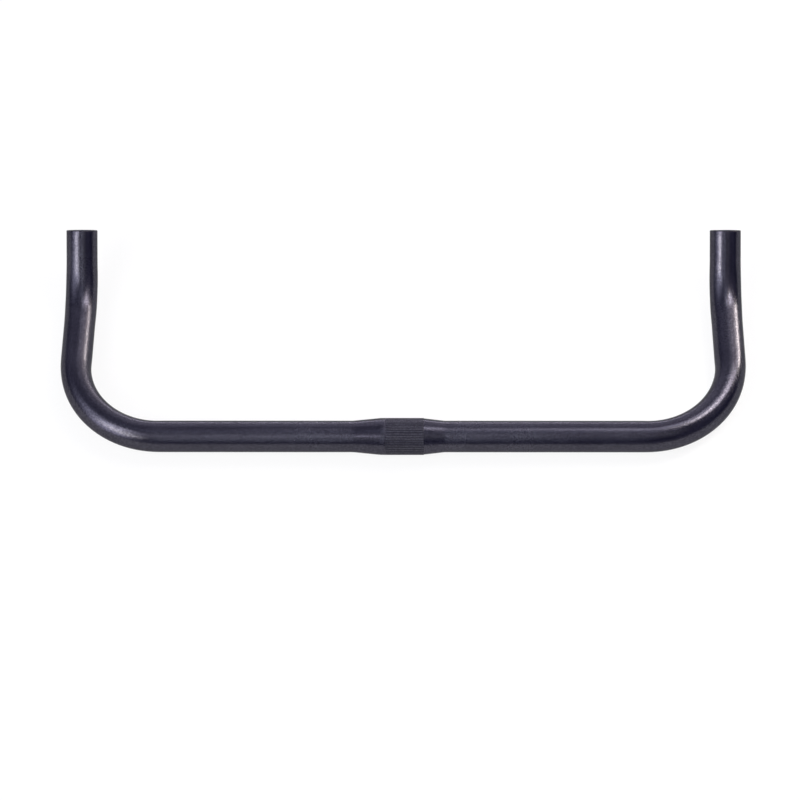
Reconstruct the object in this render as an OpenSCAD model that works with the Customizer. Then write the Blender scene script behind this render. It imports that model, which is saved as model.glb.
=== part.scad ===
// Bullhorn handlebar: one alloy tube, swollen in the middle where the stem grips it, bent forward
// into two horns and bent once more so that the horns' ends rise. It lies as it does on a table.
// X runs along the clamp axis, +Y points forward along the horns and +Z is up.
// The origin is on the clamp axis, midway between the horns.

/* [Tube] */
// Outside diameter of the tube
tube_d = 22.2; // [20:0.1:24]
// Thickness of the tube's wall
wall = 2; // [1.4:0.1:3]
// Radius of the rounded edges at the open ends
rim_round = 0.6; // [0.2:0.1:0.6]

/* [Clamp sleeve] */
// Diameter that the stem grips
clamp_d = 26; // [25:0.1:32]
// Length of the sleeve at its full diameter
sleeve_len = 26; // [16:0.5:40]
// Offset of the sleeve's middle from the origin
sleeve_shift = -1; // [-3:0.1:3]
// Length of the taper on the sleeve's left
left_taper = 22; // [15:0.5:28]
// Length of the taper on the sleeve's right
right_taper = 18.5; // [15:0.5:28]

/* [Knurl] */
// Number of grooves round the sleeve
groove_count = 45; // [24:1:60]
// Length of the grooves
groove_len = 27.8; // [12:0.1:30]
// Offset of the grooves' middle from the origin
groove_shift = 0.9; // [-3:0.1:3]
// Depth of a groove
groove_depth = 0.25; // [0.1:0.05:0.5]
// Width of a groove at the surface
groove_w = 0.9; // [0.3:0.05:1.1]

/* [Bends] */
// Distance from the origin to the start of each corner
top_half = 172; // [110:1:220]
// Radius of every bend, along the tube's centre line
bend_radius = 60; // [40:1:80]
// Angle of the corner between the top and a horn
corner_angle = 92; // [91:0.5:100]
// Straight length between the corner and the rise
horn_straight = 38; // [20:1:60]
// Angle by which a horn's end rises
rise_angle = 37; // [20:1:60]
// Straight length at a horn's end
tip_straight = 27; // [15:1:120]

/* [Hidden] */
$fn = 72;

tube_r = tube_d / 2;
clamp_r = clamp_d / 2;

// The rise is turned a little outward, so that the two ends are parallel
rise_roll = acos(1 / (tan(rise_angle) * tan(corner_angle)));

// Each half from the swage outward: straight length, roll, then angle of the bend that follows
swage_reach = 40;
half_bends = [
    [top_half - swage_reach, 0, corner_angle],
    [horn_straight, rise_roll, rise_angle],
    [tip_straight - rim_round, 0, 0]
];

// The sleeve and the horns touch the table together when the bar dips forward by this angle
flat_reach = bend_radius * (1 - cos(corner_angle)) + horn_straight * sin(corner_angle);
lie_angle = asin((clamp_r - tube_r) / flat_reach);

// Bending draws the tube down by this much in radius, and the straights' ends are seated in the bends
bend_draw = 0.02;
seat = 0.5;

// Share of a taper that its curved start, and its curved end, take up
taper_blend = 0.12;
taper_steps = 12;

// Height of a taper from 0 to 1 at t from 0 to 1: a straight slope between two parabolas
function taper_rise(t) =
    t < taper_blend ? t * t / (2 * taper_blend * (1 - taper_blend))
    : t > 1 - taper_blend ? 1 - taper_rise(1 - t)
    : (t - taper_blend / 2) / (1 - taper_blend);

function taper_r(t) = tube_r + (clamp_r - tube_r) * taper_rise(t);

// Radius of the swollen middle along X, as [radius, x] points from left to right
sleeve_left = sleeve_shift - sleeve_len / 2;
sleeve_right = sleeve_shift + sleeve_len / 2;
swage_line = concat(
    [[tube_r, -swage_reach]],
    [for (i = [0:taper_steps])
        let (t = i / taper_steps) [taper_r(t), sleeve_left - left_taper * (1 - t)]],
    [for (i = [taper_steps:-1:0])
        let (t = i / taper_steps) [taper_r(t), sleeve_right + right_taper * (1 - t)]],
    [[tube_r, swage_reach]]
);

// Puts a shape that was drawn along Z on the clamp axis, pointing along +X with its X side forward
module along_clamp_axis() {
    rotate([0, 90, 0]) rotate([0, 0, 90]) children();
}

module wall_section(draw = 0) {
    difference() {
        circle(r = tube_r - draw);
        circle(r = tube_r - wall + draw);
    }
}

// One bend from the origin, leaving along +Z and curving towards +X
module bend(angle) {
    translate([bend_radius, 0, 0]) rotate([90, 0, 180])
        rotate_extrude(angle = angle) translate([bend_radius, 0]) wall_section(bend_draw);
}

module beyond_bend(angle) {
    translate([bend_radius * (1 - cos(angle)), 0, bend_radius * sin(angle)])
        rotate([0, angle, 0]) children();
}

// Open end with its outer and inner edges rounded over
module open_rim() {
    function edge(centre, from) = [for (a = [0:15:90])
        [centre + rim_round * cos(from + a), rim_round * sin(from + a)]];
    rotate_extrude() polygon(concat(
        edge(tube_r - rim_round, 0),
        edge(tube_r - wall + rim_round, 90)
    ));
}

// Straights and bends in turn, each carried on the end of the one before
module bent_tube(bends, lead = 0) {
    if (len(bends) > 0) {
        step = bends[0];
        tail = step[2] > 0 ? seat : 0;
        translate([0, 0, -lead]) linear_extrude(lead + step[0] + tail) wall_section();
        translate([0, 0, step[0]]) rotate([0, 0, step[1]]) {
            if (step[2] > 0) bend(step[2]);
            beyond_bend(step[2]) bent_tube([for (i = [1:1:len(bends) - 1]) bends[i]], seat) children();
        }
    } else {
        children();
    }
}

module half_bar() {
    along_clamp_axis() translate([0, 0, swage_reach]) bent_tube(half_bends) open_rim();
}

// The swollen middle of the tube, with the wall as thick as elsewhere
module swage() {
    along_clamp_axis() rotate_extrude() polygon(concat(
        swage_line,
        [for (i = [len(swage_line) - 1:-1:0]) swage_line[i] - [wall, 0]]
    ));
}

// Rib tops stay at the clamp diameter where the knurl runs onto the taper
module knurl_band() {
    along_clamp_axis() translate([0, 0, groove_shift]) linear_extrude(groove_len, center = true)
        difference() {
            circle(r = clamp_r);
            circle(r = clamp_r - wall / 2);
        }
}

module knurl_grooves() {
    lip = 0.2;
    mouth = groove_w / 2 * (1 + lip / groove_depth);
    along_clamp_axis() translate([0, 0, groove_shift]) linear_extrude(groove_len, center = true)
        for (i = [0:groove_count - 1]) rotate(360 * i / groove_count)
            polygon([
                [clamp_r - groove_depth, 0],
                [clamp_r + lip, -mouth],
                [clamp_r + lip, mouth]
            ]);
}

module clamp_sleeve() {
    difference() {
        union() {
            swage();
            knurl_band();
        }
        knurl_grooves();
    }
}

module handlebar() {
    color([0.16, 0.16, 0.19]) rotate([-lie_angle, 0, 0]) {
        clamp_sleeve();
        half_bar();
        mirror([1, 0, 0]) half_bar();
    }
}

handlebar();
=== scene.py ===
"""Bullhorn handlebar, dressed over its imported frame.

One closed skin is carried along the bent centre line of the tube: its outside with the swollen,
knurled clamp sleeve, the two rounded rims and the bore. A satin black finish, a plain pale floor,
soft studio lamps and the camera of the photograph follow.
All sizes are in metres, in the frame's own axes: X along the clamp axis, +Y forward, +Z up.
"""

import logging
import math
from collections.abc import Sequence
from dataclasses import dataclass, field
from enum import Enum

import bpy
import numpy as np
from mathutils import Matrix, Vector
from numpy.typing import NDArray


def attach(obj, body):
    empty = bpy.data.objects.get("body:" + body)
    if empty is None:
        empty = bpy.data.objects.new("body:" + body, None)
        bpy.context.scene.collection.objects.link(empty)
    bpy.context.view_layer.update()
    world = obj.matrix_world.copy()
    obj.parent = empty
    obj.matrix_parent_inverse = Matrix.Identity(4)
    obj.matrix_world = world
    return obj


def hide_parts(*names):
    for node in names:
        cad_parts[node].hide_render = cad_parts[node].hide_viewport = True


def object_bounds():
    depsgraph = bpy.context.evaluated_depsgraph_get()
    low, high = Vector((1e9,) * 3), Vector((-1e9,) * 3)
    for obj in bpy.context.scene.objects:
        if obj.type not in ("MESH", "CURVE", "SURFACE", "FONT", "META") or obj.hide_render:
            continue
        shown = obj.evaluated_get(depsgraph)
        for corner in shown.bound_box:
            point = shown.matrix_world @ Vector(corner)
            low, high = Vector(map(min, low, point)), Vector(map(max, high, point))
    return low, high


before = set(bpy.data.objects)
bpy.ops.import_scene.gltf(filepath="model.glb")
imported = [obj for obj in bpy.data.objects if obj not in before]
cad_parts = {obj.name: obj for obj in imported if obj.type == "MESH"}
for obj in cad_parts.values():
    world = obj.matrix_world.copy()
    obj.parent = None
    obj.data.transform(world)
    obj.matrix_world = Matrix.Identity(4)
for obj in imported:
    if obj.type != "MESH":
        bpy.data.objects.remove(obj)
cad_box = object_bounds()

logging.basicConfig(level=logging.INFO, format="%(message)s")
log = logging.getLogger("handlebar")

FloatArray = NDArray[np.float64]
Colour = tuple[float, float, float]
Place = tuple[float, float, float]

MM = 0.001
ACROSS, FORWARD, UP = np.eye(3)
FLOOR_Z = cad_box[0].z

# Decimals to which the rings' distances are rounded, and a slack that keeps a ring at the knurl's
# very end within it.
DECIMALS = 7
HAIR = 1e-9

# Inputs and output of Blender's Mix node when it mixes colours, and the middle value of its noise.
MIX_SHARE, MIX_FIRST, MIX_SECOND, MIX_RESULT = 0, 6, 7, 2
NOISE_MIDDLE = 0.5

# Tints of the lamps, and the spread of a lamp that has no grid.
EVEN_WHITE: Colour = (1.0, 1.0, 1.0)
WARM: Colour = (1.08, 1.0, 0.78)
NO_GRID_DEG = 180.0

# Spots at which the lamps point.
MIDDLE: Place = (0.0, 0.0, 0.0)
RIGHT_HORN: Place = (0.23, 0.13, 0.02)
RIGHT_TIP: Place = (0.228, 0.20, 0.06)
RIGHT_CORNER: Place = (0.205, 0.01, 0.01)
LEFT_TAPER: Place = (-0.04, 0.0, 0.012)


class Ring(Enum):
    """Which surface of the tube a ring of the skin belongs to."""

    OUTSIDE = 0
    RIM = 1
    BORE = 2


class Mark(Enum):
    """A value that each point of the skin keeps for its finish."""

    KNURL = "knurl"
    GROOVE = "groove"
    RIM = "rim"
    BORE = "bore"


class LampShape(Enum):
    """Outline of a studio lamp."""

    OVAL = "ELLIPSE"
    BOX = "RECTANGLE"


@dataclass(frozen=True)
class Bend:
    """A bend of the tube, with the straight that leads to it."""

    straight: float
    roll_deg: float
    angle_deg: float


@dataclass(frozen=True)
class Course:
    """How the tube runs, with a row or a value for each distance along its centre line.

    It holds the points of the centre line, the forward and the upward direction of the section,
    and the angle round the section, in radians, at which the plane of the nearest bend lies.
    """

    points: FloatArray
    aheads: FloatArray
    overs: FloatArray
    planes: FloatArray


@dataclass
class CentreLine:
    """Centre line of the whole tube, from one open end to the other.

    The right half is bent as on a tube bender: a straight, a roll about the tube, then a bend of
    one radius. The left half is its mirror image. Distance is zero on the clamp axis midway and
    grows to the right. A bend sets in over a length, ease, of which the share early lies before
    its start.
    """

    bends: Sequence[Bend]
    tip_straight: float
    radius: float
    lie_deg: float
    ease: float = 18 * MM
    early: float = 0.35
    half_length: float = field(init=False)

    def __post_init__(self) -> None:
        """Adds up the straights and the arcs of one half."""
        arcs = sum(math.radians(b.angle_deg) for b in self.bends) * self.radius
        self.half_length = sum(b.straight for b in self.bends) + arcs + self.tip_straight

    def bend_spans(self) -> list[tuple[float, float]]:
        """Finds where each bend starts and ends.

        Returns:
            The distances at the start and at the end of each bend of the right half.
        """
        spans, at = [], 0.0
        for bend in self.bends:
            at += bend.straight
            arc = self.radius * math.radians(bend.angle_deg)
            spans.append((at, at + arc))
            at += arc
        return spans

    def course(self, distance: FloatArray) -> Course:
        """Works out the tube's place and its two section directions at each distance.

        In a bend the point is start + R sin(a) t + R (1 - cos(a)) n, where t is the direction on
        entering, n points to the centre of the bend and a is the arc so far over R. The section
        directions are carried along without twist: they turn by a about the bend's axis. On the
        left all of it is mirrored. Last of all, the whole line is tipped forward by the small
        angle at which the bar lies on the floor.

        Args:
            distance: signed distances along the centre line.

        Returns:
            The course at those distances.
        """
        far = np.abs(distance)
        start, t, ahead, over = np.zeros(3), ACROSS, FORWARD, UP
        points = far[:, None] * t
        aheads, overs = np.tile(ahead, (len(far), 1)), np.tile(over, (len(far), 1))
        planes, roll = np.zeros(len(far)), 0.0
        for bend, (first, last) in zip(self.bends, self.bend_spans()):
            start = start + bend.straight * t
            roll += math.radians(bend.roll_deg)
            full = math.radians(bend.angle_deg)
            n = math.cos(roll) * ahead + math.sin(roll) * over
            axis = np.cross(t, n)
            inside = far > first
            a = np.clip((far[inside] - first) / self.radius, 0, full)
            beyond = np.maximum(far[inside] - last, 0)
            sine, cosine = np.sin(a)[:, None], np.cos(a)[:, None]
            points[inside] = start + self.radius * (sine * t + (1 - cosine) * n)
            points[inside] += beyond[:, None] * (cosine * t + sine * n)
            aheads[inside], overs[inside] = turned(ahead, axis, a), turned(over, axis, a)
            planes[far > first - bend.straight / 2] = roll
            start = start + self.radius * (math.sin(full) * t + (1 - math.cos(full)) * n)
            t, ahead, over = (turned(v, axis, np.array([full]))[0] for v in (t, ahead, over))
        side = np.where(distance < 0, -1.0, 1.0)[:, None]
        mirror = side * ACROSS + FORWARD + UP
        lie = turned(np.eye(3), ACROSS, np.full(3, -math.radians(self.lie_deg)))
        return Course(points * mirror @ lie, aheads * mirror @ lie, overs * mirror @ lie, planes)

    def bentness(self, distance: FloatArray) -> FloatArray:
        """Tells how far into a bend each distance lies.

        It rises from 0 to 1 over a short ease on both sides of where a bend starts, as
        u u (3 - 2 u), and falls in the same way where it ends.

        Args:
            distance: signed distances along the centre line.

        Returns:
            0 in the straights and 1 well inside a bend.
        """
        share = np.zeros(len(distance))
        for first, last in self.bend_spans():
            inside = np.minimum(np.abs(distance) - first, last - np.abs(distance))
            u = np.clip(inside / self.ease + self.early, 0, 1)
            share += u * u * (3 - 2 * u)
        return share


@dataclass(frozen=True)
class Swage:
    """The swollen middle of the tube, with a taper on each side."""

    tube_r: float
    clamp_r: float
    left: float
    right: float
    left_taper: float
    right_taper: float
    blend: float = 0.12

    def radius(self, x: FloatArray) -> FloatArray:
        """Works out the outside radius along the tube.

        Height on a taper goes from 0 to 1 with t: b is the blend, the slope is straight in
        between, and t t / (2 b (1 - b)) is the parabola at the start, and at the end turned round.

        Args:
            x: signed distances along the centre line.

        Returns:
            The radius at each distance.
        """
        on_left = 1 - (self.left - x) / self.left_taper
        on_right = 1 - (x - self.right) / self.right_taper
        t = np.clip(np.where(x < 0, on_left, on_right), 0, 1)
        b = self.blend
        foot, top = t * t / (2 * b * (1 - b)), 1 - (1 - t) ** 2 / (2 * b * (1 - b))
        rise = np.where(t < b, foot, np.where(t > 1 - b, top, (t - b / 2) / (1 - b)))
        return self.tube_r + (self.clamp_r - self.tube_r) * rise

    def stations(self, steps: int) -> FloatArray:
        """Lists distances that follow both tapers.

        Args:
            steps: steps on each taper.

        Returns:
            The distances, from left to right.
        """
        u = np.linspace(0, 1, steps + 1)
        left = self.left - self.left_taper * (1 - u)
        return np.concatenate([left, self.right + self.right_taper * u])


@dataclass(frozen=True)
class Knurl:
    """Straight V grooves rolled into the sleeve, side by side all round.

    On the left the grooves deepen over run_out and their finish fades in over fade. On the right
    they stop short, within end_wall. Plain rings stand before the grooves and near their end.
    """

    count: int
    first: float
    last: float
    depth: float
    width: float
    run_out: float = 1.5 * MM
    fade: float = 4.0 * MM
    end_wall: float = 0.12 * MM
    bottom_round: float = 0.35
    ring_before: float = 0.3 * MM
    rings_near_end: tuple[float, float] = (5 * MM, 1 * MM)

    def angles(self, radius: float) -> FloatArray:
        """Spreads points round the tube, with some on each groove's bottom, lips and rib top.

        Args:
            radius: radius at which the groove's width is measured.

        Returns:
            Angles in radians round the whole section, starting on a groove's bottom.
        """
        lip = self.width / 2 / radius
        pitch = 2 * math.pi / self.count
        one = np.array([0, lip / 2, lip, pitch / 2, pitch - lip, pitch - lip / 2])
        return (np.arange(self.count)[:, None] * pitch + one).ravel()

    def stations(self) -> FloatArray:
        """Lists distances that follow the run-out, the fade and both ends of the grooves.

        Returns:
            Distances round the left end, the middle of the bar, and distances round the right end.
        """
        deeper, finish = self.run_out * np.array([0.5, 1]), self.fade * np.array([0.5, 1])
        start = self.first + np.concatenate([[-self.ring_before, 0], deeper, finish])
        end = self.last + np.array([*(-step for step in self.rings_near_end), 0, self.end_wall])
        return np.concatenate([start, [0.0], end])

    def cut(self, x: FloatArray, angle: FloatArray, radius: float) -> FloatArray:
        """Works out how deep the grooves are below the rib tops.

        A groove's depth falls in a straight line from its bottom to its lips, with the very
        bottom rounded, and fades out over a short run-out at its left end.

        Args:
            x: distances along the tube, one for each ring.
            angle: angles round the section.
            radius: radius of the rib tops.

        Returns:
            Depths, with a row for each ring and a column for each angle.
        """
        pitch = 2 * math.pi / self.count
        off = np.abs((angle + pitch / 2) % pitch - pitch / 2) * radius
        across = np.clip(1 - off / (self.width / 2), 0, 1)
        across = across * (1 + self.bottom_round * (1 - across))
        along = np.clip((x - self.first) / self.run_out, 0, 1)
        along = np.where(x > self.last + HAIR, 0.0, along)
        return self.depth * along[:, None] * across[None, :]

    def band(self, x: FloatArray) -> NDArray[np.bool_]:
        """Tells which distances lie within the knurl."""
        return (x >= self.first - HAIR) & (x <= self.last + HAIR)

    def share(self, x: FloatArray) -> FloatArray:
        """Tells how far the finish at each distance is the knurl's, fading in from the left."""
        return self.band(x) * np.clip((x - self.first) / self.fade, 0, 1)


@dataclass(frozen=True)
class Rings:
    """Every ring of the skin, in the order in which they close on themselves.

    It holds for each ring its distance along the tube, its radius, its surface as a number of
    Ring, and its share of the knurl, which is 1 within it.
    """

    distance: FloatArray
    radius: FloatArray
    kind: NDArray[np.int64]
    share: FloatArray


def turned(vectors: FloatArray, axis: FloatArray, angles: FloatArray) -> FloatArray:
    """Turns vectors about an axis: v cos a + (k x v) sin a + k (k . v) (1 - cos a), with axis k.

    Args:
        vectors: one vector for all the angles, or one for each.
        axis: the axis, of length 1.
        angles: angles in radians.

    Returns:
        A turned vector for each angle.
    """
    v = np.broadcast_to(vectors, (len(angles), 3))
    c, s = np.cos(angles)[:, None], np.sin(angles)[:, None]
    along = (v @ axis)[:, None] * axis
    return v * c + np.cross(axis, v) * s + along * (1 - c)


def add_mesh(name: str, points: FloatArray, quads: NDArray[np.int64]) -> bpy.types.Object:
    """Makes a mesh object from whole arrays and puts it into the scene.

    Args:
        name: name of the object and of its mesh.
        points: places, one row for each point.
        quads: four point numbers for each face.

    Returns:
        The new object, at the origin.
    """
    corners = quads.shape[1]
    mesh = bpy.data.meshes.new(name)
    mesh.vertices.add(len(points))
    mesh.vertices.foreach_set("co", points.astype(np.float32).ravel())
    mesh.loops.add(quads.size)
    mesh.loops.foreach_set("vertex_index", quads.astype(np.int32).ravel())
    mesh.polygons.add(len(quads))
    mesh.polygons.foreach_set("loop_start", np.arange(0, quads.size, corners, dtype=np.int32))
    mesh.polygons.foreach_set("loop_total", np.full(len(quads), corners, np.int32))
    mesh.update(calc_edges=True)
    mesh.validate()
    thing = bpy.data.objects.new(name, mesh)
    bpy.context.scene.collection.objects.link(thing)
    return thing


def add_point_values(thing: bpy.types.Object, mark: Mark, values: FloatArray) -> None:
    """Keeps a number for each point of a mesh, which a material can read.

    Args:
        thing: the mesh object.
        mark: what the number says.
        values: one number for each point.
    """
    attribute = thing.data.attributes.new(mark.value, "FLOAT", "POINT")
    attribute.data.foreach_set("value", values.astype(np.float32).ravel())


@dataclass
class Handlebar:
    """The bent tube as one closed skin: outside, right rim, bore and left rim in turn."""

    line: CentreLine
    swage: Swage
    knurl: Knurl
    wall: float = 2.0 * MM
    rim_round: float = 0.6 * MM
    rim_steps: int = 6
    oval_in: float = 0.026
    oval_out: float = 0.020
    bend_step_deg: float = 3.0
    beside_bends: tuple[float, ...] = (0.1, 0.2, 0.3, 0.4, 0.5)
    taper_steps: int = 20
    bore_taper_steps: int = 8
    bore_gap: float = 1 * MM
    top_start: float = 45 * MM
    top_rings: int = 6
    tip_step: float = 3 * MM
    closest: float = 0.05 * MM
    sharp_deg: float = 22.0

    def outside_stations(self) -> FloatArray:
        """Lists the distances of the rings, close together where the shape changes.

        Rings beside a bend stand at the shares beside_bends of its ease from both of its ends.
        Where two rings come nearer than closest, the second is left out.

        Returns:
            Distances from the left rim's start to the right rim's start.
        """
        ease = self.line.ease
        tip = self.line.half_length - self.rim_round
        top_end = self.line.bends[0].straight - ease
        half = [np.array([tip, tip - self.tip_step])]
        half.append(np.linspace(self.top_start, top_end, self.top_rings))
        beside = np.array(self.beside_bends) * ease
        for (first, last), bend in zip(self.line.bend_spans(), self.line.bends):
            steps = round(bend.angle_deg / self.bend_step_deg)
            half += [np.linspace(first, last, steps + 1), first - beside, last + beside]
        right = np.concatenate(half)
        middle = [self.swage.stations(self.taper_steps), self.knurl.stations()]
        every = np.unique(np.round(np.concatenate([right, -right, *middle]), DECIMALS))
        keep = np.concatenate([[True], np.diff(every) > self.closest])
        return every[keep]

    def bore_stations(self, out: FloatArray) -> FloatArray:
        """Lists the distances of the bore's rings: every second one of the outside, and the tapers.

        Args:
            out: distances of the outside's rings.

        Returns:
            Distances from left to right, with the same ends as the outside's.
        """
        tapers = self.swage.stations(self.bore_taper_steps)
        clear_left, clear_right = tapers.min() - self.bore_gap, tapers.max() + self.bore_gap
        beyond = out[(out < clear_left) | (out > clear_right)]
        return np.unique(np.concatenate([out[[0, -1]], beyond[::2], tapers]))

    def rim_profile(self) -> tuple[FloatArray, FloatArray]:
        """Works out the right rim.

        It is a quarter circle over the outer edge, a flat, and a quarter circle into the bore.
        With f as the edge's radius and a as the angle so far, a ring stands f sin a further along
        and f (1 - cos a) nearer the middle of the wall.

        Returns:
            For each ring its distance and its radius, from the outside inwards.
        """
        a = np.linspace(0, math.pi / 2, self.rim_steps + 1)[1:]
        along = self.line.half_length - self.rim_round + self.rim_round * np.sin(a)
        drop = self.rim_round * (1 - np.cos(a))
        outer = self.swage.tube_r - drop
        inner = self.swage.tube_r - self.wall + drop
        return np.concatenate([along, along[::-1]]), np.concatenate([outer, inner[::-1]])

    def rings(self) -> Rings:
        """Lists every ring of the skin.

        The rib tops keep the sleeve's full radius, also where the knurl runs on to the taper. The
        bore's radius is the outside's less the wall.

        Returns:
            The rings of the outside, the right rim, the bore and the left rim.
        """
        out = self.outside_stations()
        out_r = np.where(self.knurl.band(out), self.swage.clamp_r, self.swage.radius(out))
        bore = self.bore_stations(out)
        bore_r = self.swage.radius(bore) - self.wall
        rim, rim_r = self.rim_profile()
        distance = np.concatenate([out, rim, bore[::-1], -rim[::-1]])
        radius = np.concatenate([out_r, rim_r, bore_r[::-1], rim_r[::-1]])
        surfaces = [surface.value for surface in (Ring.OUTSIDE, Ring.RIM, Ring.BORE, Ring.RIM)]
        kind = np.repeat(surfaces, [len(out), len(rim), len(bore), len(rim)])
        share = np.where(kind == Ring.OUTSIDE.value, self.knurl.share(distance), 0.0)
        return Rings(distance, radius, kind, share)

    def oval_factors(self, rings: Rings, angle: FloatArray, planes: FloatArray) -> FloatArray:
        """Works out by what factor the oval section of the bends changes each radius.

        Inside a bend the radius grows by the share oval_out across the plane of the bend and
        shrinks by oval_in within it. It changes with the squares of the sine and cosine of the
        angle from that plane.

        Args:
            rings: the rings.
            angle: angles round the section.
            planes: for each ring, the angle at which the plane of the nearest bend lies.

        Returns:
            Factors, with a row for each ring and a column for each angle.
        """
        from_plane = angle[None, :] - planes[:, None]
        oval = self.oval_out * np.sin(from_plane) ** 2 - self.oval_in * np.cos(from_plane) ** 2
        return 1 + self.line.bentness(rings.distance)[:, None] * oval

    def build(self) -> bpy.types.Object:
        """Carries the rings along the centre line and joins each to the next.

        A point is centre + r (cos a ahead + sin a over), where r is the ring's radius less the
        groove, times the oval section's factor.

        Returns:
            The handlebar's mesh object.
        """
        rings = self.rings()
        course = self.line.course(rings.distance)
        angle = self.knurl.angles(self.swage.clamp_r)
        outside = (rings.kind == Ring.OUTSIDE.value)[:, None]
        cut = self.knurl.cut(rings.distance, angle, self.swage.clamp_r) * outside
        r = (rings.radius[:, None] - cut) * self.oval_factors(rings, angle, course.planes)
        ca, sa = np.cos(angle)[None, :, None], np.sin(angle)[None, :, None]
        outward = ca * course.aheads[:, None, :] + sa * course.overs[:, None, :]
        points = course.points[:, None, :] + r[:, :, None] * outward
        rows, columns = r.shape
        i, j = np.meshgrid(np.arange(rows), np.arange(columns), indexing="ij")
        i2, j2 = (i + 1) % rows, (j + 1) % columns
        corners = [i * columns + j2, i2 * columns + j2, i2 * columns + j, i * columns + j]
        quads = np.stack(corners, -1).reshape(-1, 4)
        bar = add_mesh("handlebar_skin", points.reshape(-1, 3), quads)
        spread = np.ones((1, columns))
        add_point_values(bar, Mark.KNURL, rings.share[:, None] * spread)
        add_point_values(bar, Mark.GROOVE, cut / self.knurl.depth)
        add_point_values(bar, Mark.RIM, (rings.kind == Ring.RIM.value)[:, None] * spread)
        add_point_values(bar, Mark.BORE, (rings.kind == Ring.BORE.value)[:, None] * spread)
        bar.data.polygons.foreach_set("use_smooth", np.ones(len(bar.data.polygons), bool))
        bar.data.set_sharp_from_angle(angle=math.radians(self.sharp_deg))
        return bar


@dataclass(frozen=True)
class Spots:
    """A Noise texture, with about so many spots to a metre and so many finer layers."""

    per_m: float
    layers: float


class NodeSheet:
    """A short way to lay out the nodes of one material or world."""

    def __init__(self, tree: bpy.types.NodeTree) -> None:
        """Starts from an empty sheet.

        Args:
            tree: the node tree to fill.
        """
        self.tree = tree
        tree.nodes.clear()

    def feed(self, socket: bpy.types.NodeSocket, value: object) -> None:
        """Links an output to an input, or sets the input's own value.

        Args:
            socket: the input.
            value: an output, a number or a colour.
        """
        if isinstance(value, bpy.types.NodeSocket):
            self.tree.links.new(value, socket)
        else:
            socket.default_value = value

    def add(
        self, kind: str, inputs: dict[str | int, object] | None = None, **settings: object
    ) -> bpy.types.Node:
        """Adds a node.

        Args:
            kind: Blender's name for the node's type.
            inputs: a value, or an output to link, for each input by its name or number.
            settings: the node's own options.

        Returns:
            The new node.
        """
        node = self.tree.nodes.new(kind)
        for name, value in settings.items():
            setattr(node, name, value)
        for key, value in (inputs or {}).items():
            self.feed(node.inputs[key], value)
        return node

    def noise(self, place: bpy.types.NodeSocket, spots: Spots) -> bpy.types.NodeSocket:
        """Adds a Noise texture at a place and returns its value."""
        inputs = {"Vector": place, "Scale": spots.per_m, "Detail": spots.layers}
        return self.add("ShaderNodeTexNoise", inputs).outputs["Fac"]

    def number(
        self, operation: str, a: object, b: object = 0.0, clamp: bool = False
    ) -> bpy.types.NodeSocket:
        """Adds a Math node on two numbers or outputs and returns its output."""
        node = self.add("ShaderNodeMath", {0: a, 1: b}, operation=operation, use_clamp=clamp)
        return node.outputs[0]

    def dot(self, a: object, b: object) -> bpy.types.NodeSocket:
        """Adds a node for the dot product of two directions and returns its value."""
        node = self.add("ShaderNodeVectorMath", {0: a, 1: b}, operation="DOT_PRODUCT")
        return node.outputs["Value"]

    def mixed(self, share: object, first: object, second: object) -> bpy.types.NodeSocket:
        """Adds a Mix node on two colours, with the second one's share, and returns its output."""
        inputs = {MIX_SHARE: share, MIX_FIRST: first, MIX_SECOND: second}
        return self.add("ShaderNodeMix", inputs, data_type="RGBA").outputs[MIX_RESULT]


def opaque(colour: Colour) -> tuple[float, float, float, float]:
    """Adds the alpha of 1 that Blender's colour sockets ask for."""
    return (*colour, 1.0)


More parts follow.
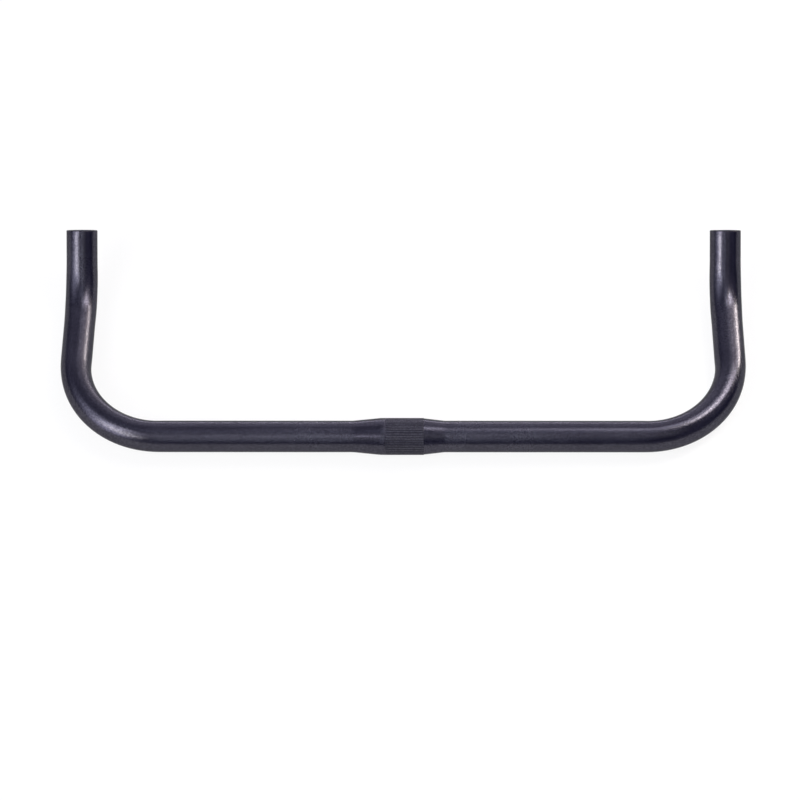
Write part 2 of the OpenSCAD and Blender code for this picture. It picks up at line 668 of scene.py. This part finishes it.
@dataclass(frozen=True)
class SatinBlack:
    """Satin blue-black finish on fine blasted alloy, rubbed on the rib tops, chipped at the rims.

    It is laid out as a dark metal, so that its colour is what it mirrors head on. The edge tint
    keeps the sheen at glancing angles from going white. The groove bottoms and the rims carry a
    painted shade.
    """

    coat: Colour = (0.043, 0.041, 0.054)
    coat_light: Colour = (0.073, 0.070, 0.089)
    rubbed: Colour = (0.078, 0.076, 0.087)
    # painted shade: the darker colour put on the groove bottoms and the rims, where shade falls
    shaded: Colour = (0.030, 0.029, 0.036)
    bare: Colour = (0.60, 0.60, 0.61)
    bore_dull: Colour = (0.045, 0.044, 0.050)
    edge_tint: float = 0.55
    roughness: float = 0.26
    knurl_roughness: float = 0.38
    bore_roughness: float = 0.45
    unevenness: float = 0.10
    grain: Spots = Spots(850.0, 2.0)
    grain_height: float = 0.06 * MM
    clouds: Spots = Spots(38.0, 3.0)
    flecks: Spots = Spots(900.0, 1.0)
    fleck_strength: float = 4.0
    scuffs: Spots = Spots(260.0, 4.0)
    scuff_power: float = 2.5
    chips: Spots = Spots(420.0, 1.0)
    chip_level: float = 0.72
    chip_strength: float = 14.0
    rim_wear: float = 0.4
    # share of the painted shade on the rims
    rim_painted_shade: float = 0.8

    def colour(
        self,
        sheet: NodeSheet,
        place: bpy.types.NodeSocket,
        cloud: bpy.types.NodeSocket,
        marks: dict[Mark, bpy.types.NodeSocket],
    ) -> bpy.types.NodeSocket:
        """Lays out the finish's colour.

        The coat goes lighter with the flecks and clouds. The grooves, the more so where they are
        deeper,
        and the rims get a painted shade: a darker colour where shade falls. The rib tops and rims
        are rubbed where the scuffs are strong, and the rims are chipped to bare alloy in the few
        spots in which the chips' noise is above its level. The bore is dull.

        Args:
            sheet: the material's nodes.
            place: the Object coordinates.
            cloud: the clouds' value.
            marks: the values that the skin keeps.

        Returns:
            The colour.
        """
        knurl, groove, rim = marks[Mark.KNURL], marks[Mark.GROOVE], marks[Mark.RIM]
        fleck = sheet.number("SUBTRACT", sheet.noise(place, self.flecks), NOISE_MIDDLE)
        fleck = sheet.number("MULTIPLY", fleck, self.fleck_strength)
        light = sheet.number("ADD", fleck, cloud, clamp=True)
        scuff = sheet.number("POWER", sheet.noise(place, self.scuffs), self.scuff_power)
        tops = sheet.number("MULTIPLY", knurl, sheet.number("SUBTRACT", 1.0, groove))
        worn = sheet.number("MAXIMUM", tops, sheet.number("MULTIPLY", rim, self.rim_wear))
        worn = sheet.number("MULTIPLY", worn, scuff, clamp=True)
        chip = sheet.number("SUBTRACT", sheet.noise(place, self.chips), self.chip_level)
        chip = sheet.number("MULTIPLY", chip, self.chip_strength)
        chip = sheet.number("MULTIPLY", sheet.number("MAXIMUM", chip, 0.0), rim, clamp=True)
        # painted shade: share of the darker colour for the grooves, by their depth, and for the
        # rims
        deep = sheet.number("MAXIMUM", groove, sheet.number("MULTIPLY", rim, self.rim_painted_shade))
        body = sheet.mixed(light, opaque(self.coat), opaque(self.coat_light))
        # painted shade mixed into the body colour
        body = sheet.mixed(deep, body, opaque(self.shaded))
        body = sheet.mixed(worn, body, opaque(self.rubbed))
        body = sheet.mixed(chip, body, opaque(self.bare))
        return sheet.mixed(marks[Mark.BORE], body, opaque(self.bore_dull))

    def dullness(
        self,
        sheet: NodeSheet,
        cloud: bpy.types.NodeSocket,
        marks: dict[Mark, bpy.types.NodeSocket],
    ) -> bpy.types.NodeSocket:
        """Lays out the finish's roughness: uneven with the clouds, and more on the knurl and bore.

        Args:
            sheet: the material's nodes.
            cloud: the clouds' value.
            marks: the values that the skin keeps.

        Returns:
            The roughness.
        """
        uneven = sheet.number("SUBTRACT", cloud, NOISE_MIDDLE)
        uneven = sheet.number("MULTIPLY", uneven, self.unevenness)
        rough = sheet.number("ADD", uneven, self.roughness)
        matte = sheet.number("MULTIPLY", marks[Mark.KNURL], self.knurl_roughness - self.roughness)
        dull = sheet.number("MULTIPLY", marks[Mark.BORE], self.bore_roughness - self.roughness)
        return sheet.number("ADD", sheet.number("ADD", rough, matte), dull, clamp=True)

    def material(self) -> bpy.types.Material:
        """Builds the finish from noise on Object coordinates and the skin's own attributes.

        Returns:
            The material.
        """
        made = bpy.data.materials.new("satin_black")
        made.use_nodes = True
        sheet = NodeSheet(made.node_tree)
        place = sheet.add("ShaderNodeTexCoord").outputs["Object"]
        marks = {
            mark: sheet.add("ShaderNodeAttribute", attribute_name=mark.value).outputs["Fac"]
            for mark in Mark
        }
        cloud = sheet.noise(place, self.clouds)
        grain = sheet.noise(place, self.grain)
        bump = sheet.add(
            "ShaderNodeBump", {"Height": grain, "Distance": self.grain_height, "Strength": 1.0}
        )
        shader = sheet.add(
            "ShaderNodeBsdfPrincipled",
            {
                "Base Color": self.colour(sheet, place, cloud, marks),
                "Metallic": 1.0,
                "Roughness": self.dullness(sheet, cloud, marks),
                "Specular Tint": opaque((self.edge_tint,) * 3),
                "Normal": bump.outputs["Normal"],
            },
        )
        sheet.add("ShaderNodeOutputMaterial", {"Surface": shader.outputs[0]})
        return made


@dataclass(frozen=True)
class PaleFloor:
    """Plain pale finish of the floor.

    A ray that comes from the camera, or from a glossy or clear surface, meets a share of plain
    diffuse white, which takes the bar's soft shadow, and a glow that fills it up to white.
    """

    colour: Colour = (0.8, 0.8, 0.8)
    shown_share: float = 0.12
    shown_glow: float = 0.87

    def material(self) -> bpy.types.Material:
        """Builds the finish from the kind of ray that meets it.

        Returns:
            The material.
        """
        made = bpy.data.materials.new("pale_floor")
        made.use_nodes = True
        sheet = NodeSheet(made.node_tree)
        path = sheet.add("ShaderNodeLightPath").outputs
        seen = sheet.number("MAXIMUM", path["Is Camera Ray"], path["Is Glossy Ray"])
        seen = sheet.number("MAXIMUM", seen, path["Is Transmission Ray"])
        plain = sheet.add("ShaderNodeBsdfDiffuse", {"Color": opaque(self.colour)})
        shaded = sheet.add("ShaderNodeBsdfDiffuse", {"Color": opaque((self.shown_share,) * 3)})
        glow = sheet.add(
            "ShaderNodeEmission", {"Color": opaque(EVEN_WHITE), "Strength": self.shown_glow}
        )
        white = sheet.add("ShaderNodeAddShader", {0: shaded.outputs[0], 1: glow.outputs[0]})
        shown = {0: seen, 1: plain.outputs[0], 2: white.outputs[0]}
        both = sheet.add("ShaderNodeMixShader", shown)
        sheet.add("ShaderNodeOutputMaterial", {"Surface": both.outputs[0]})
        return made


def toward(azimuth_deg: float, elevation_deg: float) -> Vector:
    """Returns a direction from the bar: azimuth 0 is +Y, azimuth 90 is +X, elevation 90 is up."""
    a, e = math.radians(azimuth_deg), math.radians(elevation_deg)
    return Vector((math.sin(a) * math.cos(e), math.cos(a) * math.cos(e), math.sin(e)))


@dataclass(frozen=True)
class Glow:
    """A soft oval patch of light on the room's walls."""

    azimuth_deg: float
    elevation_deg: float
    half_width_deg: float
    half_height_deg: float
    colour: Colour

    def add_to(
        self, sheet: NodeSheet, way: bpy.types.NodeSocket, rest: object
    ) -> bpy.types.NodeSocket:
        """Adds the patch's light, colour times exp(-(u u + v v)), on its own side of the room.

        u and v are the sideways and upward parts of the direction in which one looks, each over
        the sine of the patch's half width or half height.

        Args:
            sheet: the world's nodes.
            way: the direction in which one looks.
            rest: light of the patches so far.

        Returns:
            The light with this patch added.
        """
        wide, high = (
            math.sin(math.radians(half)) for half in (self.half_width_deg, self.half_height_deg)
        )
        middle = toward(self.azimuth_deg, self.elevation_deg)
        side = toward(self.azimuth_deg + 90, 0) / wide
        up = toward(self.azimuth_deg, self.elevation_deg + 90) / high
        facing, u, v = (sheet.dot(way, axis) for axis in (middle, side, up))
        far_off = sheet.number("MULTIPLY", u, u)
        far_off = sheet.number("ADD", far_off, sheet.number("MULTIPLY", v, v))
        share = sheet.number("EXPONENT", sheet.number("MULTIPLY", far_off, -1.0))
        share = sheet.number("MULTIPLY", share, sheet.number("GREATER_THAN", facing, 0.0))
        inputs = {0: share, 1: self.colour, 2: rest}
        return sheet.add("ShaderNodeVectorMath", inputs, operation="MULTIPLY_ADD").outputs[0]


@dataclass(frozen=True)
class Softbox:
    """An oval or rectangular studio lamp that points at the handlebar, or at a spot of it.

    Its place and its size are angles, as seen from the middle of the bar. A grid can keep its
    light within a spread.
    """

    name: str
    shape: LampShape
    azimuth_deg: float
    elevation_deg: float
    half_width_deg: float
    half_height_deg: float
    brightness: float
    colour: Colour = EVEN_WHITE
    aim: Place = MIDDLE
    spread_deg: float = NO_GRID_DEG
    distance: float = 2.5

    def hang(self) -> bpy.types.Object:
        """Puts the lamp into the scene. Its brightness is the radiance of its face, from its aim.

        The lamp's power is radiance times pi times area, which for an oval is pi / 4 of its box.
        A grid that keeps the light within a half spread h takes all but the share
        (tan h - h) / tan h of it.

        Returns:
            The lamp's object.
        """
        lamp = bpy.data.lights.new(self.name, "AREA")
        lamp.shape = self.shape.value
        lamp.size, lamp.size_y = (
            2 * self.distance * math.tan(math.radians(half))
            for half in (self.half_width_deg, self.half_height_deg)
        )
        fill = math.pi / 4 if self.shape is LampShape.OVAL else 1.0
        half = math.radians(self.spread_deg / 2)
        kept = (math.tan(half) - half) / math.tan(half) if self.spread_deg < NO_GRID_DEG else 1.0
        lamp.spread = 2 * half
        lamp.energy = self.brightness * math.pi * lamp.size * lamp.size_y * fill * kept
        lamp.color = self.colour
        thing = bpy.data.objects.new(self.name, lamp)
        bpy.context.scene.collection.objects.link(thing)
        thing.location = toward(self.azimuth_deg, self.elevation_deg) * self.distance
        away = thing.location - Vector(self.aim)
        thing.rotation_euler = away.to_track_quat("Z", "Y").to_euler()
        thing.visible_camera = False
        return thing


@dataclass(frozen=True)
class PhotoCamera:
    """The camera of the photograph.

    It looks along (sin a cos e, cos a cos e, -sin e), with its picture rolled by a small angle,
    and shows the middle of the clamp at the place that it has in the photograph.
    """

    azimuth_deg: float = -0.99
    elevation_deg: float = 57.45
    roll_deg: float = 0.81
    distance: float = 3.79
    pixels_per_m: float = 1422.5
    clamp_pixel: tuple[float, float] = (402.58, 436.46)
    frame_pixels: float = 800.0
    sensor_mm: float = 36.0
    clip: tuple[float, float] = (0.1, 100.0)

    def set_up(self) -> bpy.types.Object:
        """Puts the camera into the scene and makes it the scene's own.

        The lens shows pixels_per_m pixels to a metre at the clamp's distance.

        Returns:
            The camera's object.
        """
        a, e = math.radians(self.azimuth_deg), math.radians(self.elevation_deg)
        roll = math.radians(self.roll_deg)
        ahead = Vector((math.sin(a) * math.cos(e), math.cos(a) * math.cos(e), -math.sin(e)))
        level = Vector((math.cos(a), -math.sin(a), 0))
        steep = level.cross(ahead)
        right = level * math.cos(roll) - steep * math.sin(roll)
        over = level * math.sin(roll) + steep * math.cos(roll)
        middle = self.frame_pixels / 2
        aim = right * ((middle - self.clamp_pixel[0]) / self.pixels_per_m)
        aim += over * ((self.clamp_pixel[1] - middle) / self.pixels_per_m)
        lens = bpy.data.cameras.new("photo_camera")
        lens.sensor_width = self.sensor_mm
        lens.lens = self.sensor_mm * self.pixels_per_m * self.distance / self.frame_pixels
        lens.clip_start, lens.clip_end = self.clip
        camera = bpy.data.objects.new("photo_camera", lens)
        bpy.context.scene.collection.objects.link(camera)
        turn = Matrix((right, over, -ahead)).transposed()
        camera.matrix_world = Matrix.Translation(aim - ahead * self.distance) @ turn.to_4x4()
        bpy.context.scene.camera = camera
        return camera


@dataclass
class Studio:
    """The plain pale floor and the soft light around the bar."""

    boxes: Sequence[Softbox]
    glows: Sequence[Glow]
    even: Colour = (0.01, 0.01, 0.13)
    floor_reach: float = 40.0
    floor_sides: int = 120

    def lay_floor(self) -> bpy.types.Object:
        """Lays a round floor under the bar: a fan of triangles from its middle.

        Returns:
            The floor's object.
        """
        n = np.arange(self.floor_sides)
        a = 2 * math.pi * n / self.floor_sides
        ring = np.stack([np.cos(a), np.sin(a), np.zeros(len(a))], 1) * self.floor_reach
        points = np.concatenate([np.zeros((1, 3)), ring]) + FLOOR_Z * UP
        faces = np.stack([np.zeros_like(n), 1 + n, 1 + (n + 1) % self.floor_sides], 1)
        mesh = bpy.data.meshes.new("floor")
        mesh.from_pydata(points.tolist(), [], faces.tolist())
        floor = bpy.data.objects.new("floor", mesh)
        bpy.context.scene.collection.objects.link(floor)
        mesh.materials.append(PaleFloor().material())
        return floor

    def light_room(self) -> None:
        """Lights the room's walls with its soft patches and hangs the lamps."""
        world = bpy.data.worlds.new("studio")
        bpy.context.scene.world = world
        world.use_nodes = True
        sheet = NodeSheet(world.node_tree)
        way = sheet.add("ShaderNodeTexCoord").outputs["Generated"]
        light: object = self.even
        for glow in self.glows:
            light = glow.add_to(sheet, way, light)
        room = sheet.add("ShaderNodeBackground", {"Color": light, "Strength": 1.0})
        sheet.add("ShaderNodeOutputWorld", {"Surface": room.outputs[0]})
        for box in self.boxes:
            box.hang()


def make_handlebar() -> Handlebar:
    """Sets out the handlebar's sizes, as in the part's source.

    The second bend is rolled so that the horn's end runs straight ahead, seen from above, which
    asks for cos(roll) = 1 / (tan(rise) tan(corner)). The bar lies on the underside of its sleeve
    and of its horns, so over their reach the centre line comes down by what the sleeve's radius
    is over the tube's.

    Returns:
        The handlebar, ready to build.
    """
    tube_r, clamp_r = 22.2 / 2 * MM, 26.0 / 2 * MM
    top, horn, tip, bend_r = 172 * MM, 38 * MM, 26.97 * MM, 60 * MM
    corner_deg, rise_deg = 92.0, 37.0
    corner, rise = math.radians(corner_deg), math.radians(rise_deg)
    roll_deg = math.degrees(math.acos(1 / (math.tan(rise) * math.tan(corner))))
    reach = bend_r * (1 - math.cos(corner)) + horn * math.sin(corner)
    line = CentreLine(
        bends=(Bend(top, 0.0, corner_deg), Bend(horn, roll_deg, rise_deg)),
        tip_straight=tip,
        radius=bend_r,
        lie_deg=math.degrees(math.asin((clamp_r - tube_r) / reach)),
    )
    swage = Swage(
        tube_r, clamp_r, left=-14 * MM, right=12 * MM, left_taper=22 * MM, right_taper=18.5 * MM
    )
    knurl = Knurl(count=45, first=-13 * MM, last=14.8 * MM, depth=0.25 * MM, width=0.9 * MM)
    return Handlebar(line, swage, knurl)


def studio_lamps() -> tuple[Softbox, ...]:
    """Lists the lamps.

    Each has its azimuth, elevation, half width and half height in degrees, its brightness and its
    tint. The three gleams and the right lamp's top are gridded, so that they light one part of
    the bar: they also have the spot at which they point and their spread in degrees. The right
    lamp's top hangs close by, at the distance that stands last.

    Returns:
        The lamps.
    """
    oval, box = LampShape.OVAL, LampShape.BOX
    near = (1.05, 1.0, 0.87)
    return (
        Softbox("left_window", oval, -132.8, 32.1, 19.1, 10.9, 5.8, (1.01, 1.0, 0.88)),
        Softbox("left_window_top", oval, -121.3, 49.6, 8.6, 15.2, 4.1, EVEN_WHITE),
        Softbox("left_window_foot", oval, -124.3, 13.0, 19.5, 12.8, 2.4, (1.0, 1.0, 1.1)),
        Softbox("left_gleam", oval, -126.0, 37.0, 3.0, 5.0, 20.0, WARM, RIGHT_TIP, 14.0),
        Softbox("right_lamp", oval, 55.2, 53.5, 11.1, 9.9, 8.8, (1.06, 1.0, 0.93)),
        Softbox("right_lamp_foot", oval, 59.5, 37.0, 4.2, 8.0, 7.0, (1.08, 1.0, 0.92)),
        Softbox("right_strip", box, 51.5, 18.0, 5.0, 16.0, 4.7, (1.08, 1.0, 0.86)),
        Softbox("right_gleam", box, 55.5, 15.5, 3.4, 10.0, 62.0, WARM, RIGHT_HORN, 15.0),
        Softbox("right_lamp_top", oval, 70.0, 57.0, 6.5, 6.5, 27.0, near, RIGHT_CORNER, 18.0, 1.0),
        Softbox("rear_lamp", oval, 22.0, 66.0, 6.7, 12.0, 3.6, (1.0, 1.0, 1.02)),
        Softbox("front_strip", oval, 183.5, 50.7, 1.6, 35.0, 4.3, (0.95, 1.0, 1.0)),
        Softbox("front_gleam", oval, -154.0, 56.0, 4.0, 6.0, 13.0, EVEN_WHITE, LEFT_TAPER, 10.0),
    )


def room_glows() -> tuple[Glow, ...]:
    """Lists the soft patches of light on the room's walls.

    Each has its azimuth, elevation, half width and half height in degrees, and its colour.

    Returns:
        The patches.
    """
    return (
        Glow(-107.1, 38.2, 22.4, 20.9, (2.32, 2.38, 2.62)),
        Glow(57.8, 47.3, 71.6, 16.6, (0.41, 0.40, 0.42)),
        Glow(3.4, 0.0, 22.5, 3.5, (14.0, 13.6, 13.6)),
        Glow(32.6, 8.5, 16.1, 16.5, (3.30, 3.09, 2.84)),
        Glow(-13.4, 23.3, 31.6, 28.0, (0.96, 0.95, 0.99)),
        Glow(154.0, 55.1, 12.6, 20.8, (0.49, 0.49, 0.42)),
        Glow(24.8, 88.2, 11.8, 5.4, (0.97, 1.04, 1.14)),
        Glow(180.0, 12.0, 45.0, 7.0, (0.25, 0.25, 0.26)),
        Glow(149.0, 67.0, 9.0, 22.0, (0.38, 0.38, 0.38)),
        Glow(-34.0, 72.0, 9.0, 16.0, (0.22, 0.22, 0.22)),
    )


def main() -> None:
    """Builds the handlebar, dresses it, and sets up the studio."""
    bpy.context.scene.view_settings.view_transform = "Standard"
    bar = make_handlebar().build()
    bar.data.materials.append(SatinBlack().material())
    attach(bar, "root")
    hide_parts("handlebar")
    log.info("%s: %d points, %d faces", bar.name, len(bar.data.vertices), len(bar.data.polygons))
    studio = Studio(boxes=studio_lamps(), glows=room_glows())
    floor = studio.lay_floor()
    log.info("%s: %d faces", floor.name, len(floor.data.polygons))
    studio.light_room()
    log.info("studio: %d lamps, %d glows", len(studio.boxes), len(studio.glows))
    camera = PhotoCamera().set_up()
    log.info("%s: lens of %.0f mm", camera.name, camera.data.lens)


if __name__ == "__main__":
    main()
